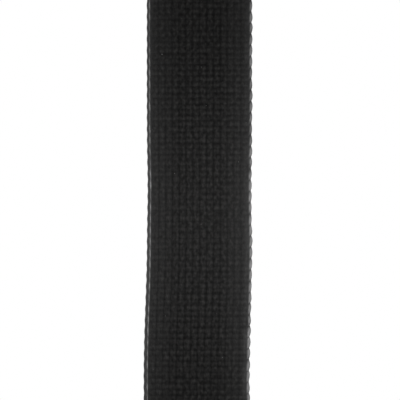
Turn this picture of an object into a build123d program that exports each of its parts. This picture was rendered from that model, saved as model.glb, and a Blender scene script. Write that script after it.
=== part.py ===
from build123d import *
import math
import os

# A guitar strap of 50 mm black webbing, hung over a round rail as it is kept on a peg.
# The origin is the point inside the top of the arch where the rail carries the strap.
# X runs across the webbing, Z is up. The front leg hangs at -Y and the adjustable
# rear leg at +Y. Millimetres throughout.

# ---- webbing ----
WEB_WIDTH = 50.0
WEB_THICK = 2.0
RAIL_RADIUS = 50.0  # inside radius of the arch over the rail
ARCH_RADIUS = RAIL_RADIUS + WEB_THICK / 2  # to the middle of the webbing
LEG_Y = ARCH_RADIUS  # middle plane of each hanging leg, in front and behind
ARCH_Z = -RAIL_RADIUS  # height of the rail's centre line
FIXED_RUN = 10.0  # rear leg just below the arch, which never moves
LAYER_GAP = 0.1  # between two layers of webbing sewn together

# ---- ring that the adjusting run turns round ----
RING_Z = -498.0  # axis of the upper bar
RING_BAR_RADIUS = 2.5
RING_PITCH = 14.0  # upper bar's axis to lower bar's axis
RING_HALF_WIDTH = 28.5  # middle plane to the side bars' axes
RING_CORNER = 3.4
FOLD_CLEARANCE = 0.3
FOLD_RADIUS = RING_BAR_RADIUS + FOLD_CLEARANCE + WEB_THICK / 2
RING_Y = LEG_Y - FOLD_RADIUS
RETURN_Y = LEG_Y - 2 * FOLD_RADIUS  # middle plane of the run that comes back up
FOLD_STRAIGHT = 13.0  # straight webbing kept with the fold, each side of it

# ---- slider ----
SLIDER_Z = -240.0
OUTER_BAR = (2.5, 6.0)  # thickness along Y, height along Z
OUTER_BAR_PITCH = 14.0  # centre bar to each outer bar, along Z
CENTRE_BAR = (3.0, 6.0)
BAR_GAP = 0.3  # outer bars to the webbing that runs behind them
WRAP_GAP = 0.1  # centre bar to the webbing sewn round it
RAIL_INSIDE = 26.0  # middle plane to a side rail's inner face
RAIL_OUTSIDE = 31.0
WRAP_RADIUS = CENTRE_BAR[0] / 2 + WRAP_GAP + WEB_THICK / 2
CENTRE_BAR_Y = RETURN_Y + WRAP_RADIUS
OUTER_BAR_Y = LEG_Y + WEB_THICK / 2 + BAR_GAP + OUTER_BAR[0] / 2
SEWN_LEG = 45.0  # webbing below the centre bar that moves with the slider
TAIL = 30.0  # straight part of the turned end
TAIL_BEND = 6.0
TAIL_Y = RETURN_Y + WEB_THICK + LAYER_GAP

# ---- leather end tabs ----
LEATHER_THICK = 2.0
TAB_LENGTH = 110.0
TAB_TOP_Z = -530.0
TAB_SHOULDER = 52.0  # full width down to here, from the tab's top edge
TAB_TIP_RADIUS = 17.0
TAB_CORNER = 4.0
SHOULDER_ROUND = 22.0
WEB_END_INSIDE = 45.0  # how far the webbing reaches into a tab
WEB_END_Z = TAB_TOP_Z - WEB_END_INSIDE
PANEL_BEND = 10.0
HOLE_RADIUS = 4.0
SLIT_WIDTH = 0.8
SLIT_LENGTH = 9.0
HOLE_Z = TAB_TOP_Z - TAB_LENGTH + TAB_TIP_RADIUS

# ---- link that joins the rear tab to the ring ----
LINK_BAR_Z = RING_Z - RING_PITCH
LINK_STRAIGHT = 4.0
LINK_BEND = 8.0

# ---- thread ----
STITCH = (2.9, 0.8, 0.4)  # length, width, height above the surface
STITCH_PITCH = 3.8
TAB_BOX = (40.0, 32.0)  # sewn box across and down
TAB_BOX_Z = TAB_TOP_Z - 23.0  # its middle
END_BOX = (40.0, 20.0)


def side_step_angle(radius, step):
    """Degrees of each of the two equal arcs that move a strip sideways by step."""
    return math.degrees(math.acos(1 - step / (2 * radius)))


class Ribbon:
    """A strip of even thickness that follows straight runs and tangent arcs in the YZ plane."""

    def __init__(self, y, z, heading, thickness=WEB_THICK):
        self.y, self.z = y, z
        self.heading = math.radians(heading)  # 90 is up, 270 is down
        self.half = thickness / 2
        self.left, self.right = [], []

    def beside(self, offset):
        """The point that lies offset to the left of where the strip has got to."""
        return Vector(
            0,
            self.y - offset * math.sin(self.heading),
            self.z + offset * math.cos(self.heading),
        )

    def run(self, length):
        left, right = self.beside(self.half), self.beside(-self.half)
        self.y += length * math.cos(self.heading)
        self.z += length * math.sin(self.heading)
        self.left.append(Line(left, self.beside(self.half)))
        self.right.append(Line(right, self.beside(-self.half)))
        return self

    def bend(self, radius, degrees):
        """Turns left by so many degrees, or right where they are negative."""
        turn = math.radians(degrees)
        to_centre = math.copysign(radius, turn)
        centre = self.beside(to_centre)
        edges = {side: [self.beside(side)] for side in (self.half, -self.half)}
        for _ in range(2):
            self.heading += turn / 2
            self.y = centre.Y + to_centre * math.sin(self.heading)
            self.z = centre.Z - to_centre * math.cos(self.heading)
            for side, points in edges.items():
                points.append(self.beside(side))
        self.left.append(ThreePointArc(*edges[self.half]))
        self.right.append(ThreePointArc(*edges[-self.half]))
        return self

    def side_step(self, radius, step):
        """Two equal arcs to a parallel line: left where step is positive, right where negative."""
        angle = math.copysign(side_step_angle(radius, abs(step)), step)
        return self.bend(radius, angle).bend(radius, -angle)

    def solid(self, width=WEB_WIDTH):
        caps = [
            Line(self.left[0] @ 0, self.right[0] @ 0),
            Line(self.left[-1] @ 1, self.right[-1] @ 1),
        ]
        face = make_face(self.left + self.right + caps)
        return extrude(face, amount=width / 2, dir=(1, 0, 0), both=True)


# ---------------------------------------------------------------- webbing


def webbing_front_leg():
    """From inside the front tab up to where the webbing meets the rail."""
    return Ribbon(-LEG_Y, WEB_END_Z, 90).run(ARCH_Z - WEB_END_Z).solid()


def webbing_arch():
    """The webbing over the rail, and the top of the rear leg."""
    return Ribbon(-LEG_Y, ARCH_Z, 90).bend(ARCH_RADIUS, -180).run(FIXED_RUN).solid()


def webbing_adjust_run():
    """The rear leg's outer run, which the slider travels along. It lengthens as the ring drops."""
    top = ARCH_Z - FIXED_RUN
    return Ribbon(LEG_Y, top, 270).run(top - RING_Z - FOLD_STRAIGHT).solid()


def webbing_ring_fold():
    """Where the webbing turns round the ring's upper bar."""
    strip = Ribbon(LEG_Y, RING_Z + FOLD_STRAIGHT, 270)
    return strip.run(FOLD_STRAIGHT).bend(FOLD_RADIUS, -180).run(FOLD_STRAIGHT).solid()


def webbing_return_run():
    """The inner run from the ring back up to the slider."""
    bottom = RING_Z + FOLD_STRAIGHT
    return Ribbon(RETURN_Y, bottom, 90).run(SLIDER_Z - SEWN_LEG - bottom).solid()


def webbing_slider_fold():
    """The last of the inner run, and its turn over the slider's centre bar."""
    straight = (CENTRE_BAR[1] - CENTRE_BAR[0]) / 2  # flat sides of the bar, above its middle
    strip = Ribbon(RETURN_Y, SLIDER_Z - SEWN_LEG, 90)
    strip.run(SEWN_LEG + straight).bend(WRAP_RADIUS, -180)
    return strip.run(straight + CENTRE_BAR[1] / 2).solid()


def webbing_sewn_tail():
    """The turned end, which bends in below the centre bar and is sewn to the inner run."""
    start_y = RETURN_Y + 2 * WRAP_RADIUS
    strip = Ribbon(start_y, SLIDER_Z - CENTRE_BAR[1] / 2, 270)
    return strip.side_step(TAIL_BEND, TAIL_Y - start_y).run(TAIL).solid()


def rear_link_fold():
    """The link's turn round the ring's lower bar."""
    strip = Ribbon(LEG_Y, LINK_BAR_Z - LINK_STRAIGHT, 90)
    return strip.run(LINK_STRAIGHT).bend(FOLD_RADIUS, 180).run(LINK_STRAIGHT).solid()


def rear_link_ends():
    """The link's two ends, which close up below the ring and are sewn into the rear tab."""
    top = LINK_BAR_Z - LINK_STRAIGHT
    step = FOLD_RADIUS - (WEB_THICK + LAYER_GAP) / 2
    drop = 2 * LINK_BEND * math.sin(math.radians(side_step_angle(LINK_BEND, step)))
    ends = []
    for side in (-1, 1):
        strip = Ribbon(RING_Y + side * FOLD_RADIUS, top, 270).side_step(LINK_BEND, -side * step)
        ends.append(strip.run(top - drop - WEB_END_Z).solid())
    return Compound(children=ends)


# ---------------------------------------------------------------- slider and ring


def slider_rail():
    """One side rail: a crescent between the outer bars, deep enough to hold the centre bar."""
    half_height = OUTER_BAR_PITCH + OUTER_BAR[1] / 2
    front = OUTER_BAR_Y + OUTER_BAR[0] / 2
    back = OUTER_BAR_Y - OUTER_BAR[0] / 2
    top, bottom = SLIDER_Z + half_height, SLIDER_Z - half_height
    front_dip, back_dip = front - 1.4, CENTRE_BAR_Y - CENTRE_BAR[0] / 2 - 0.7
    outline = [
        ThreePointArc((0, front, bottom), (0, front_dip, SLIDER_Z), (0, front, top)),
        Line((0, front, top), (0, back, top)),
        ThreePointArc((0, back, top), (0, back_dip, SLIDER_Z), (0, back, bottom)),
        Line((0, back, bottom), (0, front, bottom)),
    ]
    rail = extrude(make_face(outline), amount=RAIL_OUTSIDE - RAIL_INSIDE, dir=(1, 0, 0))
    rail = fillet(rail.faces().sort_by(Axis.X)[-1].edges(), 0.9)
    return Pos(RAIL_INSIDE, 0, 0) * rail


def slider_bar(y, z, section):
    """A bar of the given section across the slider, let 1 mm into each side rail."""
    return Pos(0, y, z) * extrude(Plane.YZ * section, amount=RAIL_INSIDE + 1.0, both=True)


def slider_frame():
    """The one-piece moulded slider: two outer bars and a recessed centre bar between side rails."""
    thickness, height = CENTRE_BAR
    frame = slider_bar(CENTRE_BAR_Y, SLIDER_Z, SlotOverall(height, thickness, rotation=90))
    outer_section = RectangleRounded(*OUTER_BAR, OUTER_BAR[0] * 0.4)
    for side in (-1, 1):
        frame += slider_bar(OUTER_BAR_Y, SLIDER_Z + side * OUTER_BAR_PITCH, outer_section)
    rail = slider_rail()
    return frame + rail + mirror(rail, about=Plane.YZ)


def ring():
    """The rectangular ring of round bar that joins the adjusting run to the rear link."""
    middle = Plane((0, RING_Y, RING_Z - RING_PITCH / 2), x_dir=(1, 0, 0), z_dir=(0, -1, 0))
    centre_line = middle * RectangleRounded(2 * RING_HALF_WIDTH, RING_PITCH, RING_CORNER)
    section = Plane((0, RING_Y, RING_Z), z_dir=(1, 0, 0)) * Circle(RING_BAR_RADIUS)
    return sweep(section, path=centre_line.wire())


# ---------------------------------------------------------------- end tabs


def tab_outline():
    """A tab panel seen from the front: full width at the top, narrowing to a round tip."""
    shoulder_z = TAB_TOP_Z - TAB_SHOULDER
    half = WEB_WIDTH / 2
    # where a straight taper from the shoulder touches the round tip
    reach = math.hypot(half, shoulder_z - HOLE_Z)
    slant = math.atan2(shoulder_z - HOLE_Z, half) - math.acos(TAB_TIP_RADIUS / reach)
    touch_x = TAB_TIP_RADIUS * math.cos(slant)
    touch_z = HOLE_Z + TAB_TIP_RADIUS * math.sin(slant)
    corners = [
        (-touch_x, touch_z),
        (-half, shoulder_z),
        (-half, TAB_TOP_Z),
        (half, TAB_TOP_Z),
        (half, shoulder_z),
        (touch_x, touch_z),
    ]
    points = [(x, 0, z) for x, z in corners]
    tip = ThreePointArc(points[-1], (0, 0, HOLE_Z - TAB_TIP_RADIUS), points[0])
    panel = make_face([Polyline(*points), tip])
    by_height = panel.vertices().group_by(Axis.Z)
    panel = fillet(by_height[-1], TAB_CORNER)
    return fillet(panel.vertices().filter_by(lambda v: abs(v.Z - shoulder_z) < 0.01), SHOULDER_ROUND)


def button_hole():
    """The round hole and its slit, cut right through a tab."""
    hole = Pos(0, 0, HOLE_Z) * Rot(90, 0, 0) * Cylinder(HOLE_RADIUS, 4 * LEG_Y)
    slit_height = HOLE_RADIUS + SLIT_LENGTH
    slit = Pos(0, 0, HOLE_Z + slit_height / 2) * Box(SLIT_WIDTH, 4 * LEG_Y, slit_height)
    return hole + slit


def tab_panel(middle, stack, side):
    """One leather panel of a tab, on the side of the middle plane that faces +Y or -Y.

    It lies on a stack of webbing of the given thickness, then closes up to the middle
    plane past the webbing's end, where the two panels of the tab lie face to face.
    """
    open_y = middle + side * (stack + LEATHER_THICK) / 2
    step = stack / 2
    # a downward heading has +Y on its left
    strip = Ribbon(open_y, TAB_TOP_Z, 270, LEATHER_THICK)
    strip.run(WEB_END_INSIDE + 1.0).side_step(PANEL_BEND, -side * step).run(TAB_LENGTH)
    outline = extrude(tab_outline(), amount=3 * LEG_Y, dir=(0, 1, 0), both=True)
    return (strip.solid(WEB_WIDTH) & outline) - button_hole()


# ---------------------------------------------------------------- stitching


def stitch_line(start, end, y, outward):
    """Stitches laid end to end from start to end, both (x, z), on a face at y."""
    length, width, height = STITCH
    (x0, z0), (x1, z1) = start, end
    count = round(math.dist(start, end) / STITCH_PITCH)
    slope = math.degrees(math.atan2(z1 - z0, x1 - x0))
    stitches = []
    for n in range(count):
        along = (n + 0.5) / count
        place = Pos(x0 + along * (x1 - x0), y + outward * height / 2, z0 + along * (z1 - z0))
        stitches.append(place * Rot(0, -slope, 0) * Box(length, height, width))
    return stitches


def stitched_box(middle_z, size, y, outward, cross):
    """A sewn box, with a cross inside it if asked for, on a face at y."""
    half_x, half_z = size[0] / 2, size[1] / 2
    top, bottom = middle_z + half_z, middle_z - half_z
    corners = [(-half_x, bottom), (half_x, bottom), (half_x, top), (-half_x, top)]
    stitches = []
    for start, end in zip(corners, corners[1:] + corners[:1]):
        stitches += stitch_line(start, end, y, outward)
    if cross:
        inset = 1 - 2.2 * STITCH[0] / math.hypot(*size)
        for side in (-1, 1):
            low = (-side * half_x * inset, middle_z - half_z * inset)
            high = (side * half_x * inset, middle_z + half_z * inset)
            stitches += stitch_line(low, high, y, outward)
    return stitches


def tab_stitching(middle, stack):
    """The thread on both faces of a tab."""
    stitches = []
    for side in (-1, 1):
        face_y = middle + side * (stack / 2 + LEATHER_THICK)
        stitches += stitched_box(TAB_BOX_Z, TAB_BOX, face_y, side, cross=True)
    return Compound(children=stitches)


def slider_end_stitching():
    """The thread that sews the turned end below the slider, on both faces of the pair."""
    middle_z = SLIDER_Z - SEWN_LEG + END_BOX[1] / 2 + 7.0
    stitches = stitched_box(middle_z, END_BOX, RETURN_Y - WEB_THICK / 2, -1, cross=False)
    stitches += stitched_box(middle_z, END_BOX, TAIL_Y + WEB_THICK / 2, 1, cross=False)
    return Compound(children=stitches)


# ---------------------------------------------------------------- all the pieces

LINK_STACK = 2 * WEB_THICK + LAYER_GAP

pieces = {
    "webbing_front_leg": webbing_front_leg(),
    "webbing_arch": webbing_arch(),
    "webbing_adjust_run": webbing_adjust_run(),
    "webbing_ring_fold": webbing_ring_fold(),
    "webbing_return_run": webbing_return_run(),
    "webbing_slider_fold": webbing_slider_fold(),
    "webbing_sewn_tail": webbing_sewn_tail(),
    "rear_link_fold": rear_link_fold(),
    "rear_link_ends": rear_link_ends(),
    "slider_frame": slider_frame(),
    "ring": ring(),
    "front_tab_face": tab_panel(-LEG_Y, WEB_THICK, -1),
    "front_tab_back": tab_panel(-LEG_Y, WEB_THICK, 1),
    "rear_tab_face": tab_panel(RING_Y, LINK_STACK, 1),
    "rear_tab_back": tab_panel(RING_Y, LINK_STACK, -1),
    "front_tab_stitching": tab_stitching(-LEG_Y, WEB_THICK),
    "rear_tab_stitching": tab_stitching(RING_Y, LINK_STACK),
    "slider_end_stitching": slider_end_stitching(),
}

os.makedirs("parts", exist_ok=True)
for name, shape in pieces.items():
    export_step(shape, f"parts/{name}.step")
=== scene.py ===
import math

import bpy
import numpy as np
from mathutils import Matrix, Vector, geometry


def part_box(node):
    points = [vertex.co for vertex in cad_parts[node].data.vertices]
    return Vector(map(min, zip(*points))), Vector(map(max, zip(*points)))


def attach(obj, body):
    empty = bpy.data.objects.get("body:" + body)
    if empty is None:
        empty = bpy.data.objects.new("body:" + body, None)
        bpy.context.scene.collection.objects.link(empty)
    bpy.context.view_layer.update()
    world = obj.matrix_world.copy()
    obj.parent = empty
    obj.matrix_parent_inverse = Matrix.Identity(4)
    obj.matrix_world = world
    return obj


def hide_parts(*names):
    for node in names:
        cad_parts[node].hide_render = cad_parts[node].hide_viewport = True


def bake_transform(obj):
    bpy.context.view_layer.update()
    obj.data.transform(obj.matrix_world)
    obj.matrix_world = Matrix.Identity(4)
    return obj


# A black webbing guitar strap hung over a rail. Every webbing surface is a woven relief in
# the mesh itself: warp floats in columns, weft rows, and two unlike edges. Metres, except
# where a section or function says that it works in millimetres.

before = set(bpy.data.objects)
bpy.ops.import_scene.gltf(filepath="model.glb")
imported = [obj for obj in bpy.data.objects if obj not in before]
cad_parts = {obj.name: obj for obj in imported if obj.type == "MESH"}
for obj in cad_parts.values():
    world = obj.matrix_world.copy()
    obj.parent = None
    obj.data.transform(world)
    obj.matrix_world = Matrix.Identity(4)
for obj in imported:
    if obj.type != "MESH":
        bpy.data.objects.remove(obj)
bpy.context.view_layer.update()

MM = 0.001

# ---------------------------------------------------------------- places, from the frame

THICK = 2.0 * MM  # the webbing's thickness
leg_low, leg_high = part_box("webbing_front_leg")
HALF_WIDTH = leg_high.x
LEG_Y = -(leg_low.y + leg_high.y) / 2
ARCH_Z = leg_high.z
WEB_END_Z = leg_low.z

_, adjust_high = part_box("webbing_adjust_run")
ring_low, ring_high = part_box("ring")
RING_BAR = (ring_high.y - ring_low.y) / 2  # the radius of its bars
RING_Y = (ring_high.y + ring_low.y) / 2
RING_BAR_Z = ring_high.z - RING_BAR
LINK_BAR_Z = ring_low.z + RING_BAR

fold_low, fold_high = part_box("webbing_ring_fold")
RETURN_Y = fold_low.y + THICK / 2
FOLD_RADIUS = (LEG_Y - RETURN_Y) / 2
FOLD_TOP = fold_high.z

sewn_low, sewn_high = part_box("webbing_slider_fold")
SEWN_Z = sewn_low.z
WRAP_RADIUS = (sewn_high.y - sewn_low.y - THICK) / 2
WRAP_Z = sewn_high.z - THICK / 2 - WRAP_RADIUS

tail_low, tail_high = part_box("webbing_sewn_tail")
TAIL_Y = tail_low.y + THICK / 2

link_low, link_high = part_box("rear_link_ends")
tab_low, tab_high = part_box("front_tab_face")
TAB_TOP_Z = tab_high.z
TAB_TIP_Z = tab_low.z


# ---------------------------------------------------------------- meshes


def mesh_object(name, points, face_sets, flat_sets=(), uv=None, values=None, normals=None):
    """A smooth-shaded object from points and arrays of faces, one array per number of corners.

    flat_sets are more faces, shaded flat. uv, values and normals hold one entry for each point.
    """
    sets = list(face_sets) + list(flat_sets)
    corners = np.concatenate([faces.ravel() for faces in sets]).astype(np.int32)
    sizes = np.concatenate([np.full(len(faces), faces.shape[1]) for faces in sets])
    smooth_count = sum(len(faces) for faces in face_sets)
    mesh = bpy.data.meshes.new(name)
    mesh.vertices.add(len(points))
    mesh.vertices.foreach_set("co", np.asarray(points, np.float32).ravel())
    mesh.loops.add(len(corners))
    mesh.loops.foreach_set("vertex_index", corners)
    mesh.polygons.add(len(sizes))
    mesh.polygons.foreach_set("loop_start", (np.cumsum(sizes) - sizes).astype(np.int32))
    mesh.polygons.foreach_set("loop_total", sizes.astype(np.int32))
    mesh.polygons.foreach_set("use_smooth", np.arange(len(sizes)) < smooth_count)
    mesh.update(calc_edges=True)
    if uv is not None:
        layer = mesh.uv_layers.new(name="Strip")
        layer.data.foreach_set("uv", np.asarray(uv, np.float32)[corners].ravel())
    for key, value in (values or {}).items():
        attribute = mesh.attributes.new(key, "FLOAT", "POINT")
        attribute.data.foreach_set("value", np.asarray(value, np.float32))
    if normals is not None:
        mesh.normals_split_custom_set_from_vertices(normals)
    obj = bpy.data.objects.new(name, mesh)
    bpy.context.scene.collection.objects.link(obj)
    return obj


def finished(obj, material, nodes=()):
    """Gives a piece its material, and hides the nodes it stands for."""
    obj.data.materials.clear()
    obj.data.materials.append(material)
    if nodes:
        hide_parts(*nodes)
    return obj


def smooth(low, high, value):
    """0 at low, 1 at high, with an even start and stop."""
    t = np.clip((value - low) / (high - low), 0, 1)
    return t * t * (3 - 2 * t)


# ---------------------------------------------------------------- material nodes


class Nodes:
    """A new material's node tree, with short ways to add and join nodes."""

    def __init__(self, name):
        self.material = bpy.data.materials.new(name)
        self.material.use_nodes = True
        self.tree = self.material.node_tree
        self.shader = self.tree.nodes["Principled BSDF"]

    def put(self, value, socket):
        if isinstance(value, bpy.types.NodeSocket):
            self.tree.links.new(value, socket)
        else:
            socket.default_value = value

    def add(self, kind, inputs=None, **settings):
        node = self.tree.nodes.new(kind)
        for key, value in settings.items():
            setattr(node, key, value)
        for key, value in (inputs or {}).items():
            self.put(value, node.inputs[key])
        return node

    def math(self, operation, *values):
        inputs = dict(enumerate(values))
        return self.add("ShaderNodeMath", inputs, operation=operation).outputs[0]

    def scaled(self, vector, scale):
        node = self.add("ShaderNodeVectorMath", {0: vector, 1: scale}, operation="MULTIPLY")
        return node.outputs["Vector"]

    def noise(self, vector, scale, detail=2.0, roughness=0.5):
        inputs = {"Vector": vector, "Scale": scale, "Detail": detail, "Roughness": roughness}
        return self.add("ShaderNodeTexNoise", inputs).outputs[0]

    def between(self, value, low, high, to_low=0.0, to_high=1.0):
        """value mapped from low...high to to_low...to_high, and held there beyond."""
        inputs = {0: value, 1: low, 2: high, 3: to_low, 4: to_high}
        return self.add("ShaderNodeMapRange", inputs).outputs[0]

    def blended(self, amount, first, second):
        inputs = {0: amount, 6: first, 7: second}
        return self.add("ShaderNodeMix", inputs, data_type="RGBA").outputs[2]

    def value(self, name):
        return self.add("ShaderNodeAttribute", attribute_name=name).outputs["Fac"]

    def bump(self, height, distance, strength):
        inputs = {"Height": height, "Distance": distance, "Strength": strength}
        return self.add("ShaderNodeBump", inputs).outputs["Normal"]

    def set(self, **inputs):
        for key, value in inputs.items():
            self.put(value, self.shader.inputs[key.replace("_", " ")])


def grey(value, warm=0.0):
    """A dark neutral in linear colour, a little redder where warm is positive."""
    return (value * (1 + warm), value, value * (1 - warm), 1.0)


# ---------------------------------------------------------------- the weave, in millimetres

# across the strip: a rim and a cord on the left, the warp columns, and a chain on the right
W = HALF_WIDTH / MM  # half the webbing's width
LEFT_RIM = 1.02
LEFT_CORD = 0.85
COLUMNS_START = -W + 2.0
COLUMNS = 28
COLUMN = 1.655  # one warp column; two make a pair, with a deeper groove beside it
COLUMNS_END = COLUMNS_START + COLUMNS * COLUMN

# along the strip
ROW = 2.7  # one weft row; neighbouring columns float over alternate rows
LOOP = 2 * ROW  # one loop of the right edge, and one turn of the left edge's cord
RIM_WANDER = 0.2  # the rim gets this much narrower and wider, in a slow wave
RIM_WAVE_START = 198
RIM_WAVE = 61  # the wave's length over two pi
LOOP_HIGHLIGHT_LEAST_AT = 227  # the loops' painted highlight is weakest here, and again after each such period
LOOP_HIGHLIGHT_PERIOD = 180

# through the strip
HALF_THICK = THICK / MM / 2
EDGE_HALF = 0.30  # half thickness left at the very edge
LEAST_HALF = 0.25  # half thickness left anywhere
ROUND_EDGE = 0.75  # how far in from an edge the two faces are rounded together
FULL_SHADE_DEPTH = 0.5  # the painted shade of the weave's hollows is darkest where the surface lies this deep

# how far the columns' features lie below the surface
FLOAT_GAP = 0.29  # at the two ends of each float
UNDER_WEFT = 0.10  # between two floats, where the column goes under the weft
PAIR_SIDE = 0.44  # at the two sides of a pair of columns
PAIR_MIDDLE = 0.06  # between the two columns of a pair

SCALLOP = 0.46  # how far a middling loop stands out beyond the right edge
NOTCH = 0.11  # how far the weft's turns move the left edge in and out

rng = np.random.default_rng(7)
COLUMN_HEIGHT = rng.normal(0, 0.018, COLUMNS)
COLUMN_SHIFT = rng.normal(0, 0.05, COLUMNS)  # in rows, as the next is
ROW_SHIFT = rng.normal(0, 0.045, 1024)
LOOP_SIZE = rng.uniform(0.5, 1.5, 512)
# how strong each loop's and each cord turn's painted highlight is
LOOP_HIGHLIGHT = rng.uniform(0.3, 1.15, 512)
CORD_HIGHLIGHT = rng.uniform(0.3, 1.05, 512)

# where across_samples puts points: in a column, from -1 to 1, and in from each edge
IN_COLUMN = {3: (-0.9, 0.0, 0.9), 5: (-0.93, -0.52, 0.0, 0.52, 0.93)}
FROM_LEFT = (0.0, 0.05, 0.14, 0.28, 0.46, 0.62, 0.78, 0.94, 1.1, 1.26, 1.42, 1.58, 1.74, 1.9)
FROM_RIGHT = (0.0, 0.05, 0.14, 0.28, 0.46, 0.68, 0.9, 1.12, 1.34)


def across_samples(per_column):
    """Positions across the webbing: close together at the edges, a set number to each column."""
    left = [-W + d for d in FROM_LEFT]
    inside = IN_COLUMN[per_column]
    body = [COLUMNS_START + (n + 0.5 + x / 2) * COLUMN for n in range(COLUMNS) for x in inside]
    return np.array(left + body + [W - d for d in reversed(FROM_RIGHT)])


def varied(values, spacing, v):
    """Reads values that are set at equal spacings along the webbing, and joined smoothly."""
    place = v / spacing
    n = np.floor(place).astype(int)
    part = smooth(0, 1, place - n)
    return values[n % len(values)] * (1 - part) + values[(n + 1) % len(values)] * part


def arc(x):
    """The drop of a round yarn's surface from its top, 0 at its middle and 1 at its sides."""
    return 1 - np.sqrt(np.clip(1 - x**2, 0, 1))


def columns_down(u, v, side):
    """How far the surface of the warp columns lies below the top."""
    n = np.clip(((u - COLUMNS_START) / COLUMN).astype(int), 0, COLUMNS - 1)
    x = 2 * ((u - COLUMNS_START) / COLUMN - n) - 1
    row = np.floor(v / ROW).astype(int) % len(ROW_SHIFT)
    wander = COLUMN_SHIFT[n] + ROW_SHIFT[row] * np.sin(np.pi * v / ROW) ** 2
    # 1 at the middle of a float, 0 at its ends, -1 halfway from it to the next
    wave = np.cos(np.pi * (v / ROW + n + (side < 0) + wander))
    on_top = smooth(-0.35, 0.45, wave)
    gap = 1 - np.abs(wave) ** 0.55
    # -1 and 1 at the two sides of a pair of columns
    in_pair = (x + np.where(n % 2 == 0, -1, 1)) / 2
    middle = np.clip(1 - np.abs(in_pair) / 0.3, 0, 1) ** 2
    down = FLOAT_GAP * gap + UNDER_WEFT * (1 - on_top)
    down = down + PAIR_SIDE * arc(0.97 * in_pair) + PAIR_MIDDLE * middle
    return down - COLUMN_HEIGHT[n]


def weave(u, v, side):
    """Half thickness at u across and v along, and two things from 0 to 1: how deep the surface lies
    there, which sets the painted shade of the weave's hollows, and how much lighter the edges' yarn
    is made there, by a little wear on the left rim and by painted highlights on the left edge's
    cord and on the right edge's loops and the yarn beside them.
    """
    left, right = u + W, W - u
    # left edge: the weft turns round a rim, with one twisted cord beside it
    rim_width = LEFT_RIM - RIM_WANDER * np.sin((v - RIM_WAVE_START) / RIM_WAVE)
    rim = 0.30 + 0.10 * np.cos(2 * np.pi * v / ROW)
    off_cord = (left - rim_width - LEFT_CORD / 2) / (LEFT_CORD / 2)
    twist = np.cos(2 * np.pi * (v / LOOP + 0.2 * off_cord))
    cord = 0.09 - 0.03 * twist + 0.30 * arc(0.95 * off_cord)
    # right edge: a chain of knitted loops, each a little slanted
    loop = np.abs(np.cos(np.pi * (v / LOOP + 0.12 * right)))
    chain = 0.42 - 0.30 * loop**0.7
    places = [left < rim_width, u < COLUMNS_START, u > COLUMNS_END]
    down = np.select(places, [rim, cord, chain], columns_down(u, v, side))

    # the rim is a little worn, and a painted highlight runs along the cord's top
    rim_pale = 0.11 * smooth(1.1, 0.8, left) + 0.08 * smooth(3.4, 1.6, left)
    cord_highlight = np.clip(1.0 - np.abs(off_cord), 0, 0.8) * (0.85 + 0.4 * twist)
    cord_highlight = 1.5 * cord_highlight * varied(CORD_HIGHLIGHT, LOOP, v)
    # painted highlight on the loops' flat but not round the webbing's side, and a little painted
    # light on the yarn near them, both rising and falling slowly along the strip
    loop_highlight = smooth(1.25, 0.45, right) * smooth(0.05, 0.45, right) * (0.1 + 2.3 * loop)
    loop_highlight = loop_highlight + 0.14 * smooth(4.0, 1.0, right)
    slow = 0.85 - 0.3 * np.cos(2 * np.pi * (v - LOOP_HIGHLIGHT_LEAST_AT) / LOOP_HIGHLIGHT_PERIOD)
    loop_highlight = loop_highlight * varied(LOOP_HIGHLIGHT, LOOP, v + LOOP / 2) * slow
    pale = np.clip(np.maximum(rim_pale, cord_highlight) + loop_highlight, 0, 1)

    inset = np.clip(np.minimum(left, right) / ROUND_EDGE, 0, 1)
    rounding = np.sqrt(1 - (1 - inset) ** 2)
    half = EDGE_HALF + (HALF_THICK - down - EDGE_HALF) * rounding
    return np.maximum(half, LEAST_HALF), np.clip(down / FULL_SHADE_DEPTH, 0, 1), pale


def edge_scallop(u, v):
    """How far the edges stand out or in: loops on the right, weft turns on the left."""
    left = NOTCH * np.cos(np.pi * v / ROW) * smooth(-W + 1.4, -W, u)
    loop = np.abs(np.cos(np.pi * v / LOOP)) * varied(LOOP_SIZE, LOOP, v + LOOP / 2)
    right = SCALLOP * loop * smooth(W - 1.6, W, u)
    return right - left


# ---------------------------------------------------------------- strips of webbing, in metres


class Route:
    """A line of straight runs and tangent arcs in the YZ plane, read by distance along it."""

    def __init__(self, y, z, heading):
        self.y, self.z, self.heading = y, z, math.radians(heading)
        self.parts = []
        self.length = 0.0

    def go(self, length, curve):
        self.parts.append((self.length, self.y, self.z, self.heading, curve))
        self.length += length
        self.y, self.z, self.heading = (float(a[0]) for a in self.read(np.array([self.length])))
        return self

    def run(self, length):
        return self.go(length, 0.0)

    def bend(self, radius, degrees):
        """Turns left by so many degrees, or right where they are negative."""
        turn = math.radians(degrees)
        return self.go(radius * abs(turn), math.copysign(1 / radius, turn))

    def side_step(self, radius, step):
        """Two equal arcs to a parallel line: left where step is positive."""
        angle = math.degrees(math.acos(1 - abs(step) / (2 * radius)))
        angle = math.copysign(angle, step)
        return self.bend(radius, angle).bend(radius, -angle)

    def read(self, along):
        y, z, heading = (np.zeros(len(along)) for _ in range(3))
        for n, (start, y0, z0, h0, curve) in enumerate(self.parts):
            on = (along >= start - 1e-9) | (n == 0)
            d = along[on] - start
            h = h0 + curve * d
            heading[on] = h
            if curve:
                y[on] = y0 + (np.sin(h) - math.sin(h0)) / curve
                z[on] = z0 - (np.cos(h) - math.cos(h0)) / curve
            else:
                y[on] = y0 + d * math.cos(h0)
                z[on] = z0 + d * math.sin(h0)
        return y, z, heading


def straight(z):
    """No sideways shift, and the full width: what drift gives for each height of a strip."""
    return np.zeros_like(z), np.ones_like(z)


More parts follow.
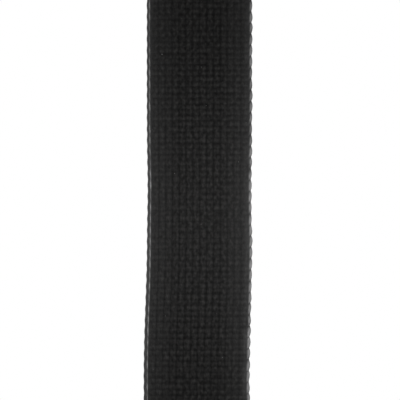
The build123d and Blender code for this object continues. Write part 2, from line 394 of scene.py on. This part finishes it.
def woven_strip(name, route, start, end, fine=False, drift=straight):
    """Webbing along a stretch of a route, from start to end along it.

    The face on the left of the route's heading is the outer face. It has more points if fine.
    A row of points beyond each end is worked out too, so that the shading there matches the
    next piece's, and is then left off.
    """
    steps_per_row = 6 if fine else 4
    step = ROW / steps_per_row * MM
    between = np.arange(math.floor(start / step) + 1, math.ceil(end / step)) * step
    too_near = 0.3 * step
    between = between[(between > start + too_near) & (between < end - too_near)]
    along = np.concatenate([[start - 0.5 * step, start], between, [end, end + 0.5 * step]])
    y, z, heading = route.read(along)
    x_shift, stretch = drift(z)

    outer_u = across_samples(5 if fine else 3)
    inner_u = across_samples(3)[::-1]
    side = np.concatenate([np.ones(len(outer_u)), -np.ones(len(inner_u))])
    u, v = np.meshgrid(np.concatenate([outer_u, inner_u]), along / MM)
    half, groove_shade, pale = weave(u, v, side[None, :])
    lift = side * half * MM
    points = np.stack(
        [
            (u + edge_scallop(u, v)) * stretch[:, None] * MM + x_shift[:, None],
            y[:, None] - lift * np.sin(heading)[:, None],
            z[:, None] + lift * np.cos(heading)[:, None],
        ],
        axis=-1,
    )
    down = np.roll(points, -1, axis=1) - np.roll(points, 1, axis=1)
    normals = np.cross(down[1:-1], points[2:] - points[:-2])
    normals /= np.linalg.norm(normals, axis=-1, keepdims=True)
    points, u, v, groove_shade, pale = (array[1:-1] for array in (points, u, v, groove_shade, pale))
    here = np.arange(u.size).reshape(u.shape)
    beside = np.roll(here, -1, axis=1)
    quads = np.stack([here[:-1], beside[:-1], beside[1:], here[1:]], -1).reshape(-1, 4)
    ends = np.stack([here[0, ::-1], here[-1]])
    uv = np.stack([u.ravel(), v.ravel()], -1) * MM
    values = {"groove_shade": groove_shade.ravel(), "pale": pale.ravel()}
    normals = normals.reshape(-1, 3)
    return mesh_object(name, points.reshape(-1, 3), [quads], [ends], uv, values, normals)


# ---------------------------------------------------------------- materials


def webbing_material():
    """Black polypropylene yarn: long fibres along the warp, uneven tones, painted shade in the
    weave's hollows, painted light towards both edges, a little wear on the left rim with painted
    highlights on the cord and the loops, and specks of lint.
    """
    n = Nodes("black_webbing")
    # metres across and along the strip, so the noises' scales are counts per metre
    strip_place = n.add("ShaderNodeUVMap", uv_map="Strip").outputs["UV"]
    across = n.add("ShaderNodeSeparateXYZ", {0: strip_place}).outputs["X"]
    fibres = n.noise(n.scaled(strip_place, (9000.0, 900.0, 1.0)), 1.0, 3.0, 0.6)
    strands = n.noise(n.scaled(strip_place, (2600.0, 260.0, 1.0)), 1.0, 2.0)
    patches = n.noise(n.scaled(strip_place, (60.0, 30.0, 1.0)), 1.0, 2.0)
    uneven = n.noise(n.scaled(strip_place, (650.0, 420.0, 1.0)), 1.0, 1.0)
    lint = n.noise(n.scaled(strip_place, (700.0, 700.0, 1.0)), 1.0, 1.0)

    yarn = n.blended(n.between(fibres, 0.3, 0.7), grey(0.017, 0.03), grey(0.037, 0.02))
    yarn = n.blended(n.between(strands, 0.35, 0.7, 0.0, 0.45), yarn, grey(0.046, 0.02))
    yarn = n.blended(n.between(patches, 0.35, 0.65, 0.0, 0.3), yarn, grey(0.022, 0.04))
    yarn = n.blended(n.between(uneven, 0.3, 0.5, 0.9, 0.0), yarn, grey(0.009, 0.04))
    yarn = n.blended(n.between(uneven, 0.5, 0.7, 0.0, 0.75), yarn, grey(0.062, 0.03))
    # painted shade: the yarn is darkened where the weave's surface lies deep
    yarn = n.blended(n.between(n.value("groove_shade"), 0.25, 0.95, 0.0, 0.75), yarn, grey(0.007))
    # painted light: the yarn is lightened towards both edges, as if the webbing's sides caught more
    # light
    off_middle = n.math("ABSOLUTE", across)
    edge_light = n.between(off_middle, 0.4 * HALF_WIDTH, HALF_WIDTH, 0.0, 0.6)
    yarn = n.blended(n.math("MULTIPLY", edge_light, fibres), yarn, grey(0.12))
    # a little wear on the left rim, and painted highlights on the cord and the loops, broken up by
    # the strands
    pale = n.math("MULTIPLY", n.value("pale"), n.between(strands, 0.3, 0.7, 0.75, 1.1))
    yarn = n.blended(pale, yarn, grey(0.60))
    yarn = n.blended(n.between(lint, 0.80, 0.84), yarn, grey(0.35))

    height = n.math("ADD", fibres, n.math("MULTIPLY", strands, 1.5))
    rough = n.between(fibres, 0.3, 0.7, 0.62, 0.5)
    n.set(Base_Color=yarn, Roughness=rough, Normal=n.bump(height, 0.07 * MM, 0.8))
    n.set(Specular_IOR_Level=0.25, Sheen_Weight=0.05, Sheen_Roughness=0.4)
    return n.material


def leather_material():
    """Black tanned leather with fine grain, a little rubbed along its cut edges."""
    n = Nodes("black_leather")
    place = n.add("ShaderNodeTexCoord").outputs["Object"]
    pores = n.add("ShaderNodeTexVoronoi", {"Vector": place, "Scale": 1100.0}).outputs["Distance"]
    creases = n.noise(place, 420.0, 4.0, 0.6)
    patches = n.noise(place, 45.0, 3.0)

    colour = n.blended(n.between(patches, 0.3, 0.7), grey(0.014, 0.06), grey(0.026, 0.08))
    colour = n.blended(n.between(creases, 0.45, 0.7, 0.0, 0.5), colour, grey(0.038, 0.08))
    # "edge" is the distance in millimetres from the nearest cut
    near_edge = n.between(n.value("edge"), 0.1, 0.9, 0.7, 0.0)
    rubbed = n.math("MULTIPLY", near_edge, n.between(creases, 0.35, 0.6))
    colour = n.blended(rubbed, colour, grey(0.08, 0.12))

    height = n.math("ADD", n.math("MULTIPLY", pores, 0.8), creases)
    rough = n.between(creases, 0.35, 0.7, 0.56, 0.42)
    n.set(Base_Color=colour, Roughness=rough, Normal=n.bump(height, 0.12 * MM, 0.7))
    n.set(Specular_IOR_Level=0.45)
    return n.material


def plastic_material():
    """Moulded black plastic with a fine spark-eroded texture and a dull shine."""
    n = Nodes("moulded_plastic")
    place = n.add("ShaderNodeTexCoord").outputs["Object"]
    texture = n.noise(place, 3800.0, 2.0)
    flow = n.noise(n.scaled(place, (60.0, 200.0, 200.0)), 1.0, 2.0)
    colour = n.blended(n.between(flow, 0.35, 0.65), grey(0.017), grey(0.024))
    rough = n.between(flow, 0.3, 0.7, 0.34, 0.44)
    n.set(Base_Color=colour, Roughness=rough, Normal=n.bump(texture, 0.04 * MM, 0.5))
    n.set(Specular_IOR_Level=0.5)
    return n.material


def thread_material():
    """Bonded black nylon thread, with a slight shine."""
    n = Nodes("black_thread")
    place = n.add("ShaderNodeTexCoord").outputs["Object"]
    fibres = n.noise(place, 6000.0, 2.0)
    colour = n.blended(fibres, grey(0.022), grey(0.05))
    n.set(Base_Color=colour, Roughness=0.45, Normal=n.bump(fibres, 0.04 * MM, 0.6))
    n.set(Specular_IOR_Level=0.5, Sheen_Weight=0.1)
    return n.material


WEBBING = webbing_material()
LEATHER = leather_material()
PLASTIC = plastic_material()
THREAD = thread_material()


# ---------------------------------------------------------------- webbing

WINDOW_Z = -0.377  # level with the camera, between the slider and the ring behind
WINDOW = 0.1923  # how much of the strap's height is in view
CAMERA_AWAY = 1.1  # camera to the front leg
TAIL_BEND = 6.0 * MM  # radius of the sewn tail's bends, beside the slider
LINK_BEND = 8.0 * MM  # radius of the bends where the link's two layers come together
LAYER_GAP = 0.1 * MM  # between those two layers

SWAY = -1.4 * MM  # the front leg's sideways drift between the middle of the view and the tab
WAIST = 0.015  # how much narrower it is at its waist, as a share of its width
WAIST_Z = WINDOW_Z + 0.006
WAIST_LENGTH = 0.018  # from its middle to where it has faded to about a third
BROAD = 0.006  # how much wider it is elsewhere, and how much more below the middle of the view
LOW_BROAD = 0.005
SQUEEZE = 0.03  # how much narrower the webbing is inside a tab


def tucked(z):
    """The webbing is a little narrower inside a tab, where the leather squeezes it."""
    return 1 - SQUEEZE * smooth(TAB_TOP_Z - 2 * MM, TAB_TOP_Z - 7 * MM, z)


def link_drift(z):
    return np.zeros_like(z), tucked(z)


def front_drift(z):
    """The front leg's small wander sideways and in width, over the stretch in view."""
    low, high = TAB_TOP_Z, WINDOW_Z - 0.020
    bump = np.sin(np.pi * np.clip((z - high) / (low - high), 0, 1)) ** 2
    waist = np.exp(-(((z - WAIST_Z) / WAIST_LENGTH) ** 2))
    ends = smooth(ARCH_Z, ARCH_Z - 0.06, z) * smooth(TAB_TOP_Z, TAB_TOP_Z + 0.04, z)
    broad = BROAD + LOW_BROAD * smooth(WINDOW_Z - 0.02, WINDOW_Z - 0.06, z)
    return SWAY * bump, tucked(z) + ends * broad - WAIST * waist


def webbing_piece(name, route, start, end, nodes, **kind):
    obj = woven_strip(name, route, start, end, **kind)
    return finished(obj, WEBBING, nodes)


def webbing_pieces(name, route, start, end, count, nodes, **kind):
    """A long stretch as several pieces, end to end."""
    cuts = [start + (end - start) * n / count for n in range(count + 1)]
    return [
        webbing_piece(f"{name}_{n}", route, a, b, nodes, **kind)
        for n, (a, b) in enumerate(zip(cuts, cuts[1:]), 1)
    ]


def make_strip():
    """The long strip, from the front tab over the rail, round the ring and back to the slider."""
    strip = Route(-LEG_Y, WEB_END_Z, 90).run(ARCH_Z - WEB_END_Z)
    arch = strip.length
    strip.bend(LEG_Y, -180).run(ARCH_Z - adjust_high.z)
    adjust = strip.length
    strip.run(adjust_high.z - FOLD_TOP)
    fold = strip.length
    strip.run(FOLD_TOP - RING_BAR_Z).bend(FOLD_RADIUS, -180).run(FOLD_TOP - RING_BAR_Z)
    back = strip.length
    strip.run(SEWN_Z - FOLD_TOP)
    sewn = strip.length
    strip.run(WRAP_Z - SEWN_Z).bend(WRAP_RADIUS, -180).run(WRAP_Z - tail_high.z)
    strip.side_step(TAIL_BEND, TAIL_Y - strip.y)
    strip.run(strip.z - tail_low.z)

    leg = ["webbing_front_leg"]
    for obj in webbing_pieces("front_leg", strip, 0, arch, 4, leg, fine=True, drift=front_drift):
        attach(obj, "strap_body")
    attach(webbing_piece("arch", strip, arch, adjust, ["webbing_arch"]), "strap_body")
    for obj in webbing_pieces("adjust_run", strip, adjust, fold, 2, ["webbing_adjust_run"]):
        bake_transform(obj)
    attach(webbing_piece("ring_fold", strip, fold, back, ["webbing_ring_fold"]), "loop_end")
    inner = webbing_piece("return_run", strip, back, sewn, ["webbing_return_run"])
    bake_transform(inner)
    sewn_nodes = ["webbing_slider_fold", "webbing_sewn_tail"]
    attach(webbing_piece("sewn_end", strip, sewn, strip.length, sewn_nodes), "slider")


def make_link():
    """The doubled link from the rear tab round the ring's lower bar."""
    offset = (THICK + LAYER_GAP) / 2
    step = FOLD_RADIUS - offset
    drop = 2 * LINK_BEND * math.sin(math.acos(1 - step / (2 * LINK_BEND)))
    neck = LINK_BAR_Z - link_high.z
    layers = link_high.z - drop - link_low.z
    link = Route(RING_Y + offset, link_low.z, 90)
    link.run(layers).side_step(LINK_BEND, -step).run(neck).bend(FOLD_RADIUS, 180)
    link.run(neck).side_step(LINK_BEND, step).run(layers)
    nodes = ["rear_link_fold", "rear_link_ends"]
    obj = webbing_piece("rear_link", link, 0, link.length, nodes, drift=link_drift)
    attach(obj, "rear_tab")


make_strip()
make_link()


# ---------------------------------------------------------------- leather tabs, in millimetres

LEATHER_THICK = 2.0
TAB_TOP = TAB_TOP_Z / MM
TIP_RADIUS = 17.0
HOLE_Z = TAB_TIP_Z / MM + TIP_RADIUS
SHOULDER_Z = TAB_TOP - 52.0  # the tab narrows below its shoulders
SHOULDER_RADIUS = 22.0
CORNER_RADIUS = 4.0
HOLE_RADIUS = 4.0
SLIT_HALF = 0.4
SLIT_TOP = HOLE_Z + HOLE_RADIUS + 9.0
CLOSING_Z = TAB_TOP - 46.0  # the two panels close up below this height

CUT_ROUND = 0.7  # the rounding of the leather's cut edges
CREASE_IN = 2.6  # the pressed line runs this far in from the outline
CREASE_DEPTH = 0.28
CREASE_HALF = 0.24
SEAM_DEPTH = 0.22  # how far the stitches pull the leather in
SEAM_HALF = 0.9
# rings of points along the outline: close together at the rounded edge and the pressed line
PANEL_INSETS = (0.0, 0.1, 0.3, 0.6, 1.0, 2.0, 2.35, 2.6, 2.85, 3.2)
FINE_POINTS, COARSE_POINTS = 0.4, 0.8  # the spacing round the hole, and elsewhere

STITCH = 2.9
STITCH_PITCH = 3.8
THREAD_RADIUS = 0.40
TAB_BOX = (40.0, 32.0)
TAB_BOX_Z = TAB_TOP - 23.0
END_BOX = (40.0, 20.0)
END_BOX_Z = SEWN_Z / MM + 17.0

# each tab's name and body, the middle of its layers in Y, how thick the webbing between its
# panels is, how far below CLOSING_Z the panels meet, and which way along Y its face looks
TABS = (
    ("front_tab", "strap_body", -LEG_Y / MM, THICK / MM, 6.3, -1),
    ("rear_tab", "rear_tab", RING_Y / MM, (2 * THICK + LAYER_GAP) / MM, 8.9, 1),
)


def rounded_loop(corners, spacing):
    """Points along a closed outline whose corners, each (x, z, radius), are rounded."""
    points = []
    count = len(corners)
    for n, (x, z, radius) in enumerate(corners):
        here = np.array([x, z])
        to_last = np.array(corners[n - 1][:2]) - here
        to_next = np.array(corners[(n + 1) % count][:2]) - here
        to_last, to_next = (d / np.linalg.norm(d) for d in (to_last, to_next))
        half_angle = math.acos(np.clip(to_last @ to_next, -1, 1)) / 2
        inward = (to_last + to_next) / np.linalg.norm(to_last + to_next)
        centre = here + inward * (radius / math.sin(half_angle))
        first = here + to_last * radius / math.tan(half_angle) - centre
        turn = math.pi - 2 * half_angle
        turn = math.copysign(turn, to_last[1] * to_next[0] - to_last[0] * to_next[1])
        steps = max(3, round(abs(turn) * radius / spacing))
        for angle in np.linspace(0, turn, steps + 1):
            c, s = math.cos(angle), math.sin(angle)
            points.append(centre + (c * first[0] - s * first[1], s * first[0] + c * first[1]))
    filled = []
    for a, b in zip(points, points[1:] + points[:1]):
        steps = max(1, round(np.linalg.norm(b - a) / spacing))
        filled += [a + (b - a) * n / steps for n in range(steps)]
    return np.array(filled)


def panel_loop(inset, spacing=0.7):
    """The tab's outline, drawn in by inset."""
    half, radius = W - inset, TIP_RADIUS - inset
    reach = math.hypot(W, SHOULDER_Z - HOLE_Z)
    slant = math.atan2(SHOULDER_Z - HOLE_Z, W) - math.acos(TIP_RADIUS / reach)
    apex = HOLE_Z + radius / math.sin(slant)
    shoulder = HOLE_Z + (radius - half * math.cos(slant)) / math.sin(slant)
    top = TAB_TOP - inset
    corner, bend = CORNER_RADIUS - inset, SHOULDER_RADIUS - inset
    corners = [
        (0.0, apex, radius),
        (half, shoulder, bend),
        (half, top, corner),
        (-half, top, corner),
        (-half, shoulder, bend),
    ]
    return rounded_loop(corners, spacing)


def hole_loop(spacing=0.35):
    """The button hole with its slit, which ends in a small round."""
    start = math.asin(SLIT_HALF / HOLE_RADIUS)
    around = 25  # near enough the hole's circumference
    angles = np.linspace(math.pi / 2 + start, math.pi * 2.5 - start, round(around / spacing))
    circle = np.stack([HOLE_RADIUS * np.cos(angles), HOLE_Z + HOLE_RADIUS * np.sin(angles)], -1)
    rise = np.arange(circle[-1][1] + spacing, SLIT_TOP, spacing)
    up = np.stack([np.full(len(rise), SLIT_HALF), rise], -1)
    down = up[::-1] * (-1, 1)
    return np.concatenate([circle, up, [[0, SLIT_TOP + 0.1]], down])


def distance_to(points, loop, closed=True):
    """From each point to the nearest place on a line of points."""
    starts = loop if closed else loop[:-1]
    ends = np.roll(loop, -1, axis=0) if closed else loop[1:]
    nearest = np.full(len(points), 1e9)
    for a, b in zip(starts, ends):
        along = np.clip((points - a) @ (b - a) / max((b - a) @ (b - a), 1e-12), 0, 1)
        nearest = np.minimum(nearest, np.linalg.norm(points - a - along[:, None] * (b - a), axis=1))
    return nearest


def in_hole(points):
    x, z = points.T
    in_slit = (np.abs(x) < SLIT_HALF) & (z > HOLE_Z) & (z < SLIT_TOP)
    return (np.hypot(x, z - HOLE_Z) < HOLE_RADIUS) | in_slit


def stitch_lines(box, middle_z, cross):
    """The ends of each sewn line: a box, and the cross inside it where cross is true."""
    half_x, half_z = box[0] / 2, box[1] / 2
    low, high = middle_z - half_z, middle_z + half_z
    corners = [(-half_x, low), (half_x, low), (half_x, high), (-half_x, high)]
    lines = list(zip(corners, corners[1:] + corners[:1]))
    if cross:
        inset = 1 - 2.2 * STITCH / math.hypot(*box)  # the cross stops short of the corners
        for side in (-1, 1):
            start = (-side * half_x * inset, middle_z - half_z * inset)
            lines.append((start, (-start[0], 2 * middle_z - start[1])))
    return [(np.array(a), np.array(b)) for a, b in lines]


def grid_points(x_half, low, high, spacing):
    """Rows of points, every other row shifted by half a spacing."""
    xs = np.arange(-x_half, x_half + spacing, spacing)
    zs = np.arange(low, high, spacing)
    x, z = np.meshgrid(xs, zs)
    x = x + (np.arange(len(zs)) % 2)[:, None] * spacing / 2
    return np.stack([x.ravel(), z.ravel()], -1)


def panel_plan():
    """A tab panel's flat mesh: points (x, z), triangles, the border loops and two distances."""
    loops = [panel_loop(inset) for inset in PANEL_INSETS]
    hole = hole_loop()
    outline = loops[0]
    reach, above = 7.0, 2.5  # how far round the hole, and above its slit, the points are fine
    gap = FINE_POINTS / 2
    fine = grid_points(reach, HOLE_Z - reach, SLIT_TOP + above, FINE_POINTS)
    coarse = grid_points(W, TAB_TIP_Z / MM, TAB_TOP, COARSE_POINTS)
    in_fine = (np.abs(coarse[:, 0]) < reach + gap) & (coarse[:, 1] > HOLE_Z - reach - gap)
    in_fine &= coarse[:, 1] < SLIT_TOP + above + gap
    free = np.concatenate([fine, coarse[~in_fine]])
    inside = np.abs(free[:, 0]) < np.interp(free[:, 1], *panel_side())
    free = free[inside & ~in_hole(free)]
    clear = distance_to(free, outline) > PANEL_INSETS[-1] + 0.3
    free = free[clear & (distance_to(free, hole) > gap)]

    points = np.concatenate(loops + [hole, free])
    starts = np.cumsum([0] + [len(loop) for loop in loops])
    borders = [np.arange(len(loops[0])), starts[-1] + np.arange(len(hole))]
    bound = [np.arange(len(loop)) + start for loop, start in zip(loops, starts)] + [borders[1]]
    edges = [(int(a), int(b)) for ring in bound for a, b in zip(ring, np.roll(ring, -1))]
    result = geometry.delaunay_2d_cdt([Vector(p) for p in points], edges, [], 0, 1e-5)
    points = np.array([tuple(p) for p in result[0]])
    triangles = np.array([face for face in result[2] if len(face) == 3])
    triangles = triangles[~in_hole(points[triangles].mean(axis=1))]
    return points, triangles, borders, distance_to(points, outline), distance_to(points, hole)


def panel_side():
    """Heights and half widths down the tab's side, for finding which points lie inside it."""
    loop = panel_loop(0.0)
    right = loop[loop[:, 0] >= 0]
    right = right[np.argsort(right[:, 1])]
    return right[:, 1], right[:, 0]


def make_tab_panels():
    """The four leather panels: rounded cut edges, a pressed line inside them, and dented seams."""
    points, triangles, borders, from_edge, from_hole = panel_plan()
    x, z = points.T
    count = len(points)
    from_cut = np.minimum(from_edge, from_hole)
    rounded = 1 - (1 - np.clip(from_cut / CUT_ROUND, 0, 1)) ** 2
    depth = LEATHER_THICK - CUT_ROUND + CUT_ROUND * np.sqrt(rounded)
    depth -= CREASE_DEPTH * np.exp(-(((from_edge - CREASE_IN) / CREASE_HALF) ** 2))
    seam = np.full(count, 1e9)
    for a, b in stitch_lines(TAB_BOX, TAB_BOX_Z, cross=True):
        seam = np.minimum(seam, distance_to(points, np.array([a, b]), closed=False))
    depth -= SEAM_DEPTH * np.exp(-((seam / SEAM_HALF) ** 2))
    # slight unevenness, in slanting waves
    depth += 0.03 * np.sin(0.9 * x + 0.3 * z) * np.sin(0.5 * z - 0.4 * x)

    for leg, body, middle, stack, drop, outward in TABS:
        open_by = stack / 2 * smooth(CLOSING_Z - drop, CLOSING_Z, z)
        for part, side in (("face", outward), ("back", -outward)):
            inner = middle + side * open_by
            outer = inner + side * depth
            both = np.concatenate([np.stack([x, y, z], -1) for y in (outer, inner)]) * MM
            out = triangles if side < 0 else triangles[:, ::-1]
            walls = []
            for border in borders:
                after = np.roll(border, -1)
                walls.append(np.stack([border, after, after + count, border + count], -1))
            walls = np.concatenate(walls)
            obj = mesh_object(
                f"{leg}_{part}_leather",
                both,
                [np.concatenate([out, out[:, ::-1] + count])],
                [walls],
                values={"edge": np.concatenate([from_cut, from_cut])},
            )
            finished(obj, LEATHER, [f"{leg}_{part}"])
            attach(obj, body)


def make_stitches(name, body, seams, node):
    """Twisted thread stitches. seams are (lines, y of the surface in mm, which way is out)."""
    along = np.linspace(-1, 1, 13)
    round_it = np.linspace(0, 2 * math.pi, 9)[:-1]
    t, phi = np.meshgrid(along, round_it, indexing="ij")
    # two strands twisted together, thinner at the ends, which dip into the leather
    radius = THREAD_RADIUS * (1 - 0.25 * t**4) * (1 + 0.14 * np.cos(2 * phi - 9.0 * t))
    rise = 0.22 - 0.55 * np.abs(t) ** 4
    ring = np.arange(t.size).reshape(t.shape)
    beside = np.roll(ring, -1, axis=1)
    quads = np.stack([ring[:-1], ring[1:], beside[1:], beside[:-1]], -1).reshape(-1, 4)
    all_points, all_quads, all_ends = [], [], []
    for lines, surface, out in seams:
        for start, end in lines:
            span = np.linalg.norm(end - start)
            run = (end - start) / span
            cross = np.array([-run[1], run[0]])
            number = round(span / STITCH_PITCH)
            for n in range(number):
                middle = start + (end - start) * (n + 0.5) / number
                aside = radius * np.cos(phi)
                flat = middle + t[..., None] * STITCH / 2 * run + aside[..., None] * cross
                y = surface + out * (rise + radius * np.sin(phi))
                base = len(all_points) * t.size
                all_points.append(np.stack([flat[..., 0], y, flat[..., 1]], -1).reshape(-1, 3))
                turned = quads if out > 0 else quads[:, ::-1]
                all_quads.append(turned + base)
                all_ends.append(np.stack([ring[0], ring[-1][::-1]]) + base)
    points = np.concatenate(all_points) * MM
    obj = mesh_object(name, points, [np.concatenate(all_quads)], [np.concatenate(all_ends)])
    finished(obj, THREAD, [node])
    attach(obj, body)


def make_all_stitches():
    tab_lines = stitch_lines(TAB_BOX, TAB_BOX_Z, cross=True)
    for leg, body, middle, stack, _, _ in TABS:
        half_stack = stack / 2 + LEATHER_THICK
        seams = [(tab_lines, middle + side * half_stack, side) for side in (-1, 1)]
        make_stitches(f"{leg}_thread", body, seams, f"{leg}_stitching")
    end_lines = stitch_lines(END_BOX, END_BOX_Z, cross=False)
    end_seams = [
        (end_lines, (RETURN_Y - THICK / 2) / MM, -1),
        (end_lines, (TAIL_Y + THICK / 2) / MM, 1),
    ]
    make_stitches("slider_end_thread", "slider", end_seams, "slider_end_stitching")


make_tab_panels()
make_all_stitches()

for node in ("slider_frame", "ring"):
    finished(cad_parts[node], PLASTIC)


# ---------------------------------------------------------------- floor, light and camera

FLOOR_Z = -0.79
FLOOR_RADIUS = 1.2
FLOOR_SIDES = 96


def make_floor():
    """A pale disc. It is lit from just above, and throws no light back up at the strap."""
    angles = np.linspace(0, 2 * math.pi, FLOOR_SIDES + 1)[:-1]
    rim = np.stack([np.cos(angles), np.sin(angles), np.zeros(FLOOR_SIDES)], -1) * FLOOR_RADIUS
    floor = mesh_object("floor", rim + (0, 0, FLOOR_Z), [], [np.arange(FLOOR_SIDES)[None, :]])
    floor.visible_diffuse = floor.visible_glossy = False
    n = Nodes("pale_floor")
    n.set(Base_Color=(0.8, 0.8, 0.79, 1.0), Roughness=0.8)
    floor.data.materials.append(n.material)


def make_world():
    """White where the camera sees it, as a plain studio sweep is, but a weak light all round."""
    world = bpy.data.worlds.new("studio")
    bpy.context.scene.world = world
    world.use_nodes = True
    tree = world.node_tree
    background = tree.nodes["Background"]
    background.inputs["Color"].default_value = (1, 1, 1, 1)
    seen = tree.nodes.new("ShaderNodeLightPath").outputs["Is Camera Ray"]
    strength = tree.nodes.new("ShaderNodeMapRange")
    strength.inputs["To Min"].default_value = 0.12
    strength.inputs["To Max"].default_value = 1.0
    tree.links.new(seen, strength.inputs["Value"])
    tree.links.new(strength.outputs["Result"], background.inputs["Strength"])


def add_light(name, kind, place, target, power):
    light = bpy.data.lights.new(name, kind)
    light.energy = power
    obj = bpy.data.objects.new(name, light)
    obj.location = place
    aim = Vector(target) - Vector(place)
    obj.rotation_euler = aim.to_track_quat("-Z", "Y").to_euler()
    obj.visible_camera = False
    bpy.context.scene.collection.objects.link(obj)
    return light


def area_light(name, place, target, size, power):
    light = add_light(name, "AREA", place, target, power)
    light.shape = "RECTANGLE"
    light.size, light.size_y = size


def spot_light(name, place, target, pool, power):
    """A snooted lamp, whose pool of light has the given radius at the target."""
    light = add_light(name, "SPOT", place, target, power)
    light.spot_size = 2 * math.atan(pool / (Vector(target) - Vector(place)).length)
    light.spot_blend = 1.0
    light.shadow_soft_size = 0.08


def make_lights():
    """Two weak lamps for the stretch in view, a pool of light above it and one below, and soft
    lamps for the other sides. Each has its place, what it points at, its size or its pool's
    radius, and its watts.
    """
    front = -LEG_Y - THICK / 2
    near = WINDOW_Z - 0.014
    area_light("near", (0.03, front - 0.14, near), (0, front, near), (0.05, 0.05), 0.059)
    area_light("side", (-0.45, -0.9, -0.38), (0, front, -0.38), (0.08, 0.9), 0.22)
    spot_light("upper", (0.1, -1.0, 0.05), (0, front, -0.02), 0.27, 8.0)
    spot_light("lower", (0.1, -1.0, -0.62), (0, front, -0.63), 0.16, 6.0)
    area_light("top", (0.0, 0.4, 0.9), (0, 0, 0), (1.0, 0.6), 6.0)
    area_light("back", (0.5, 1.5, 0.1), (0, LEG_Y, -0.35), (1.0, 1.0), 8.0)
    area_light("left", (-1.2, 0.25, -0.3), (0, 0.1, -0.3), (0.5, 1.0), 4.0)
    area_light("right", (1.2, 0.25, -0.3), (0, 0.1, -0.3), (0.5, 1.0), 4.0)
    above_floor = FLOOR_Z + 0.03
    area_light("floor_wash", (0, 0, above_floor), (0, 0, FLOOR_Z), (2.6, 2.6), 10.0)


def make_camera():
    camera = bpy.data.cameras.new("camera")
    camera.lens = camera.sensor_width * CAMERA_AWAY / WINDOW
    obj = bpy.data.objects.new("camera", camera)
    aside = 0.4 * MM  # the strap stands a little left of the picture's middle
    obj.location = (aside, -LEG_Y - THICK / 2 - CAMERA_AWAY, WINDOW_Z)
    obj.rotation_euler = (math.pi / 2, 0, 0)
    bpy.context.scene.collection.objects.link(obj)
    bpy.context.scene.camera = obj


bpy.context.scene.view_settings.view_transform = "Standard"
make_floor()
make_world()
make_lights()
make_camera()

bpy.context.view_layer.update()
